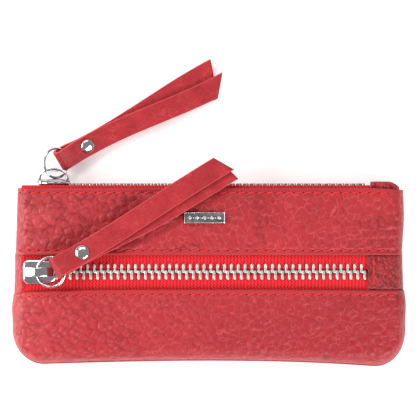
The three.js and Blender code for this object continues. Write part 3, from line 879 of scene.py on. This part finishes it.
def add_tooth(solid, x, side):
    """A tooth with a dimple, raised at its rim, in the top of its leg."""
    solid.slab(tooth_outline(x, side), -TOOTH_HALF_HEIGHT, TOOTH_HALF_HEIGHT, 0.22)
    y = side * DIMPLE_ACROSS
    rim = ((1.5, 1.2), (1.25, 1.33), (1.0, 1.33), (0.55, 1.22))
    solid.loft([[(x + 0.2 * share * math.cos(a), y + 0.42 * share * math.sin(a), height) for a in around(10)]
                for share, height in rim])


def chain_rows(prefix, sides, place, finish, open_mouth):
    """Both rows of teeth. Most of a row parts as the slider runs open, the few teeth
    that end up in the slider's mouth part less, and the last ones stay engaged."""
    for name, side in zip(sides, (1, -1)):
        node = f"{prefix}_teeth_{name}"
        low, high = node_box(node)
        lag = TOOTH_PITCH / 4 if side > 0 else TOOTH_PITCH / 2 + 0.5
        count = int(round((high[0] - low[0]) / TOOTH_PITCH))
        places = [low[0] + lag + i * TOOTH_PITCH for i in range(count)]
        start = -1e3
        for label, end, travel in ROW_SECTIONS:
            row = Solid()
            for x in places:
                if start <= x - open_mouth < end:
                    add_tooth(row, x, side)
            start = end
            piece = make_piece(f"{node}_{label}", row, finish, "pouch", (node,), place)
            if travel:
                part_aside(piece)


def part_aside(piece):
    """Gives a row of teeth, or a tape, a mesh of its own."""
    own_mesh(piece)


def tape_loop(x, side, outer, turn_down):
    """Section of one tape half: a beaded edge, a flat web and, on top, a turned-down leg."""
    bead_turns = [math.pi * (0.35 + 1.3 * k / 8) for k in range(9)]
    bead = [(side * (1.15 + 0.42 * math.cos(a)), 0.42 * math.sin(a)) for a in bead_turns]
    ripple = 0.05 * noise.noise(Vector((x / 6.0, side, 2.0)))
    turn_down = turn_down * smooth(x, -69.5, -63.0) + (1.6 if turn_down else 0.0)
    fold = 0.3 if turn_down else 0.0
    face = 0.2 + ripple
    top_web = [(side * (outer - 0.6), face + fold), (side * 3.2, face), (side * 2.2, face)]
    low_web = [(v, n - 0.4) for v, n in reversed(top_web)]
    if turn_down:
        leg = [(outer - 0.35, -0.7), (outer - 0.3, -turn_down), (outer + 0.1, -turn_down),
               (outer + 0.1, -0.1), (outer, 0.4)]
    else:
        leg = [(outer, -0.1), (outer, 0.1)]
    leg = [(side * v, n) for v, n in leg]
    return [(x, v, n) for v, n in bead + low_web + leg + top_web]


def add_tapes(prefix, sides, place, turn_down):
    for name, side in zip(sides, (1, -1)):
        node = f"{prefix}_tape_{name}"
        low, high = node_box(node)
        outer = 5.2 if turn_down else max(abs(low[1] - FRONT_CHAIN_Y), abs(high[1] - FRONT_CHAIN_Y))
        stations = np.linspace(low[0] - (3.5 if turn_down else 1.6), high[0], 160)
        loops = [tape_loop(x, side, outer, turn_down) for x in stations]
        if side < 0:
            loops = [loop[::-1] for loop in loops]
        tape = Solid().loft(loops)
        piece = make_piece(f"{node}_web", tape, "tape", "pouch", (node,), place)
        part_aside(piece)


def add_stops(prefix, sides, place):
    names = [f"{prefix}_top_stop_{sides[0]}", f"{prefix}_top_stop_{sides[1]}", f"{prefix}_bottom_stop"]
    for node in names:
        low, high = node_box(node)
        inverse = place.inverted()
        corners = inverse @ Vector(low), inverse @ Vector(high)
        low, high = [min(pair) for pair in zip(*corners)], [max(pair) for pair in zip(*corners)]
        centre = ((low[0] + high[0]) / 2, (low[1] + high[1]) / 2)
        outline = rounded_outline(high[0] - low[0], high[1] - low[1], 0.4, 4, centre)
        stop = Solid().slab(outline, low[2], high[2], 0.2)
        make_piece(f"{node}_clip", stop, "nickel", "pouch", (node,), place)


# ---- Sliders ----

CHANNEL_HALF_HEIGHT = 1.6
FLANGES = ((0.55, 1.9), (-1.9, -0.55))        # their heights in the channel


def slider_outline():
    """The plate from above: broad shoulders at the mouth and a narrower tail."""
    upper = [(SLIDER_LENGTH, 2.1), (SLIDER_LENGTH - 0.45, 3.3), (SLIDER_LENGTH - 1.7, 4.0), (8.6, 4.05),
             (7.0, 4.5), (5.4, 4.6), (2.4, 4.6), (1.0, 4.15), (0.2, 3.2), (0.0, 2.0)]
    return upper + [(x, -v) for x, v in reversed(upper)]


def pillow(solid, outline, crown, side):
    """A plate whose outer face swells towards its middle; `side` is 1 above, -1 below."""
    middle_x = SLIDER_LENGTH / 2
    rises = ((1.0, 0.0), (1.0, 0.25), (0.985, 0.45), (0.94, 0.62), (0.85, 0.76), (0.7, 0.88),
             (0.5, 0.96), (0.25, 1.0))
    loops = []
    for share, climb in rises:
        height = side * (CHANNEL_HALF_HEIGHT + (crown - CHANNEL_HALF_HEIGHT) * climb)
        loops.append([((x - middle_x) * share + middle_x, v * share, height) for x, v in outline])
    if side < 0:
        loops = [loop[::-1] for loop in loops]
    solid.loft(loops)


def slider_shell():
    """Two plates, the flanges that hem in the channel between them, and its wedge."""
    body = Solid()
    pillow(body, slider_outline(), 2.85, 1)
    pillow(body, slider_outline(), 2.75, -1)
    channel = [(1.7, 4.36), (6.0, 4.34), (8.6, 3.4), (10.7, 3.4)]
    rail = [(x, min(v + 0.6, 4.58 if x < 7 else 3.98)) for x, v in channel]
    for side in (-1, 1):
        flange = [(x, side * v) for x, v in channel + rail[::-1]]
        for heights in FLANGES:
            body.loft([[(x, v, z) for x, v in flange] for z in heights])
    wedge = [(0.7, -0.76), (3.0, -0.76), (4.6, 0.0), (3.0, 0.76), (0.7, 0.76)]
    body.slab(wedge, -1.9, 1.9, 0.1)
    return body


def crown_bridge(width):
    """The bridge over the plate: a rounded strip bent into an arch."""
    middle, foot, half, rise, stock = SLIDER_LENGTH / 2, 2.55, 5.8, 4.55, 1.05
    loops = []
    stations = 40
    for i in range(stations + 1):
        angle = math.pi * (1 - i / stations)
        flat = abs(math.cos(angle)) ** 1.25 * math.copysign(1.0, math.cos(angle))
        tall = math.sin(angle) ** 0.8 if 0 < i < stations else 0.0
        tangent = Vector((math.sin(angle) * half, math.cos(angle) * rise))
        normal = Vector((-tangent.y, tangent.x)).normalized() if tangent.length else Vector((0, 1))
        centre = Vector((middle + (half - stock / 2) * flat, foot + (rise - stock / 2) * tall))
        swell = width / 2 * (1.0 + 0.12 * math.sin(angle))
        loop = []
        for a in around(16):
            v = math.copysign(abs(math.cos(a)) ** 0.5, math.cos(a)) * swell
            n = math.copysign(abs(math.sin(a)) ** 0.7, math.sin(a)) * stock / 2
            loop.append((centre.x + normal.x * n, v, centre.y + normal.y * n))
        loops.append(loop)
    return Solid().loft(loops)


def add_slider(prefix, body, local, crown_width, finish):
    shell = slider_shell()
    make_piece(f"{prefix}_slider_plates", shell, finish, body,
               (f"{prefix}_slider_body",), local)
    crown = crown_bridge(crown_width)
    make_piece(f"{prefix}_slider_bridge", crown, finish, body,
               (f"{prefix}_slider_crown",), local)
    low, high = node_box(f"{prefix}_slider_lock_spring")
    top = max((local.inverted() @ Vector(corner)).z for corner in (low, high))
    spring = Solid().slab(rounded_outline(3.4, 2.0, 0.5, 4, (SLIDER_LENGTH / 2, 0.0)), top - 0.25, top, 0.08)
    make_piece(f"{prefix}_slider_leaf_spring", spring, "spring", body,
               (f"{prefix}_slider_lock_spring",), local)


# ---- Rings and pulls ----

def pull_frame(zip_facts):
    """The ring's centre and plane and the strap's own axes, in the slider's frame: `s`
    along the strap, `t` across it and `w` out of its upper face."""
    turn, lift = math.radians(zip_facts["turn"]), math.radians(zip_facts["lift"])
    hinge = Vector((zip_facts["ring_at"], 0.0, RING_HEIGHT))
    along = Vector((-math.sin(turn), math.cos(turn), 0.0))
    flat = Vector((math.cos(turn), math.sin(turn), 0.0))
    out = flat * math.cos(lift) + Vector((0.0, 0.0, math.sin(lift)))
    centre = hinge + out * RING_RADIUS
    s = Vector(zip_facts["direction"]).normalized()
    reach = (along * s.dot(along) + out * s.dot(out)).normalized()
    normal = out.cross(along).normalized()
    t = normal.cross(reach).normalized()
    if s.cross(t).dot(Vector(zip_facts["face_up"])) < 0:
        t.negate()
    w = s.cross(t)
    chord = math.sqrt(RING_RADIUS ** 2 - (STRAP_WIDTH / 2) ** 2)
    eye = centre + reach * chord
    rise = (RING_RADIUS - chord) * reach.dot(w)
    return {"centre": centre, "along": along, "out": out, "eye": eye, "s": s, "t": t, "w": w, "rise": rise}


def smooth(value, start, end):
    share = min(max((value - start) / (end - start), 0.0), 1.0)
    return share * share * (3 - 2 * share)


def add_ring(prefix, body, local, facts):
    loops = []
    up = facts["out"].cross(facts["along"])
    for angle in around(72):
        arm = facts["out"] * math.cos(angle) + facts["along"] * math.sin(angle)
        centre = facts["centre"] + arm * RING_RADIUS
        loops.append([centre + (arm * math.cos(a) + up * math.sin(a)) * WIRE_RADIUS
                      for a in around(16)])
    ring = Solid().loft(loops, closed=True)
    make_piece(f"{prefix}_ring_wire", ring, "chrome", body, (f"{prefix}_ring",), local)


def strap_path(rise, upper, lower):
    """Centre line of the folded leather: in along the lower layer, round and out again."""
    def middle(s):
        return rise / 2 * (1 - smooth(s, 3.0, 9.0))

    def half(s):
        return FOLD_HALF_GAP + (LAYER_HALF_GAP - FOLD_HALF_GAP) * smooth(s, 2.2, 8.6) + STRAP_LEATHER / 2

    path = [(s, middle(s) - half(s), -1) for s in np.linspace(lower, 0.0, 90)]
    bend = FOLD_HALF_GAP + STRAP_LEATHER / 2
    for step in range(1, 14):
        angle = 1.5 * math.pi - math.pi * step / 14
        path.append((bend * math.cos(angle), middle(0.0) + bend * math.sin(angle), 0))
    path += [(s, middle(s) + half(s), 1) for s in np.linspace(0.0, upper, 90)]
    return path


def settle(zip_facts, s, t, w, layer):
    """Parts the two tails, cuts their ends and lays the strap down on what is under it."""
    ease = 1 - math.exp(-max(s, 0.0) / 12)
    length = zip_facts["upper"] if layer > 0 else zip_facts["lower"]
    share = max(s, 0.0) / length
    splay = zip_facts["upper_splay" if layer > 0 else "lower_splay"] * smooth(s, 12.0, length)
    bow = zip_facts["lower_bow"] * math.sin(math.pi * share) ** 2 if layer < 0 else 0.0
    skew = zip_facts["upper_cut" if layer > 0 else "lower_cut"] * t * smooth(share, 0.9, 1.0)
    across = t + splay + bow + zip_facts["lean"] * max(s, 0.0) + zip_facts["sidestep"] * (0.6 + 0.4 * ease)
    angle = math.radians(zip_facts["roll"]) * ease
    wavy = 0.12 * noise.noise(Vector((s / 11.0, layer * 2.0, zip_facts["seed"]))) * ease
    lift = zip_facts["tail_lift"] * smooth(s, 45.0, 75.0)
    y = across * math.cos(angle) - w * math.sin(angle)
    z = across * math.sin(angle) + w * math.cos(angle)
    return Vector((s + skew, y, z - zip_facts["drop"] * ease + wavy + lift))


def strap_section(width, stock, edge_steps=4):
    """A flat rectangle with softly rounded cut edges, as (across, outward) pairs."""
    half, radius = width / 2, stock * 0.3
    loop = []
    for index, (sx, sy) in enumerate(((1, 1), (-1, 1), (-1, -1), (1, -1))):
        for step in range(edge_steps + 1):
            angle = (index + step / edge_steps) * math.pi / 2
            loop.append((sx * (half - radius) + radius * math.cos(angle),
                         sy * (stock / 2 - radius) + radius * math.sin(angle)))
        if index in (0, 2):
            loop += [(sx * half * share, sy * stock / 2) for share in (0.6, 0.2, -0.2, -0.6)]
    return loop


DOME_RADIUS = 2.72
DOME_RISE = 1.15
AXIS_GAP = 0.02          # a lathed profile starts this far from its axis


def add_strap(prefix, body, local, facts, zip_facts):
    """The folded leather and the rivet through both layers."""
    path = strap_path(facts["rise"], zip_facts["upper"], zip_facts["lower"])
    section = strap_section(STRAP_WIDTH, STRAP_LEATHER)
    basis = Matrix((facts["s"], facts["t"], facts["w"])).transposed().to_4x4()
    seat = local @ Matrix.Translation(facts["eye"]) @ basis
    loops = []
    for i, (s, w, layer) in enumerate(path):
        before, after = path[max(i - 1, 0)], path[min(i + 1, len(path) - 1)]
        tangent = Vector((after[0] - before[0], after[1] - before[1])).normalized()
        normal = Vector((tangent.y, -tangent.x))
        loops.append([settle(zip_facts, s + normal.x * n, t, w + normal.y * n, layer or (1 if w > 0 else -1))
                      for t, n in section])
    strap = Solid().loft(loops)
    piece = make_piece(f"{prefix}_pull_leather", strap, ("strap", "edge"), body,
                       (f"{prefix}_pull_strap",), seat)
    edge_rows = {j for j, (t, _) in enumerate(section) if abs(t) > STRAP_WIDTH / 2 - 0.3}
    size = len(section)
    for polygon in piece.data.polygons:
        columns = {index % size for index in polygon.vertices}
        if columns <= edge_rows or len(polygon.vertices) > 4:
            polygon.material_index = 1

    stack = LAYER_HALF_GAP + STRAP_LEATHER
    head = settle(zip_facts, RIVET_AT, 0.0, 0.0, 1)
    tilt = Matrix.Rotation(math.radians(zip_facts["rivet_tilt"]), 4, "Y")
    seat_rivet = seat @ Matrix.Translation(head) @ tilt
    turns = [math.pi / 2 * k / 12 for k in range(13)]
    dome = [(DOME_RADIUS * math.sin(a), stack + 0.12 + DOME_RISE * math.cos(a)) for a in turns]
    dome[0] = (AXIS_GAP, dome[0][1])
    profile = dome + [(2.76, stack + 0.06), (2.7, stack - 0.06), (2.3, stack - 0.1), (AXIS_GAP, stack - 0.1)]
    cap = Solid().lathe(profile[::-1])
    make_piece(f"{prefix}_pull_rivet_dome", cap, "chrome", body,
               (f"{prefix}_pull_rivet_cap",), seat_rivet)
    stem = [(AXIS_GAP, -stack - 0.5), (1.9, -stack - 0.45), (2.25, -stack - 0.25), (2.3, -stack - 0.05),
            (1.1, -stack), (1.0, -stack + 0.1), (1.0, stack - 0.2), (AXIS_GAP, stack - 0.2)]
    post = Solid().lathe(stem)
    make_piece(f"{prefix}_pull_rivet_stem", post, "chrome", body,
               (f"{prefix}_pull_rivet_post",), seat_rivet)


# Angles in degrees: the ring's turn and lift, the strap's roll and the rivet's tilt
FRONT = {
    "finish": "chrome", "crown_width": 3.2, "ring_at": 5.2, "turn": 0.0, "lift": 15.0,
    "direction": (math.cos(math.radians(31)), math.sin(math.radians(31)), 0.0),
    "face_up": (0.0, 0.0, 1.0), "upper": 71.6, "lower": 72.4,
    "upper_splay": 1.5, "lower_splay": -2.2, "lower_bow": -1.4, "upper_cut": -0.55, "lower_cut": -0.25,
    "roll": 7.6, "drop": 1.1, "lean": 0.0, "sidestep": 0.0, "tail_lift": -0.6,
    "rivet_tilt": 3.0, "seed": 1.0,
}
TOP = {
    "finish": "shaded", "crown_width": 2.4, "ring_at": 7.1, "turn": -50.0, "lift": 90.0,
    "direction": (math.cos(math.radians(30)), 0.0, math.sin(math.radians(30))),
    "face_up": (0.0, -1.0, 0.0), "upper": 64.4, "lower": 64.9,
    "upper_splay": -3.3, "lower_splay": 3.3, "lower_bow": 0.0, "upper_cut": 0.85, "lower_cut": 0.35,
    "roll": -22.0, "drop": 3.0, "lean": -0.042, "sidestep": -1.3, "tail_lift": 0.0,
    "rivet_tilt": 5.0, "seed": 4.0,
}


def add_zipper(prefix, side_names, place, bodies, zip_facts, turn_down):
    mouth = node_box(f"{prefix}_slider_body")[0][0]
    open_mouth = mouth + (TOP_TRAVEL if turn_down else FRONT_TRAVEL)
    add_tapes(prefix, side_names, place, turn_down)
    # The top zipper's teeth take the darker copy of the nickel: painted shade.
    teeth_finish = "dull" if turn_down else "nickel"
    chain_rows(prefix, side_names, place, teeth_finish, open_mouth)
    add_stops(prefix, side_names, place)
    local = place @ Matrix.Translation((mouth, 0.0, 0.0))
    add_slider(prefix, bodies[0], local, zip_facts["crown_width"], zip_facts["finish"])
    facts = pull_frame(zip_facts)
    add_ring(prefix, bodies[1], local, facts)
    add_strap(prefix, bodies[2], local, facts, zip_facts)


add_camera()
add_stage()
add_panels()
add_end_tabs()
add_stitching()
add_name_plate()
add_linings()
add_zipper("front_zip", ("upper", "lower"), FRONT_PLACE,
           ("front_slider", "front_ring", "front_pull"), FRONT, 0.0)
add_zipper("top_zip", ("back", "front"), TOP_PLACE,
           ("top_slider", "top_ring", "top_pull"), TOP, 7.4)
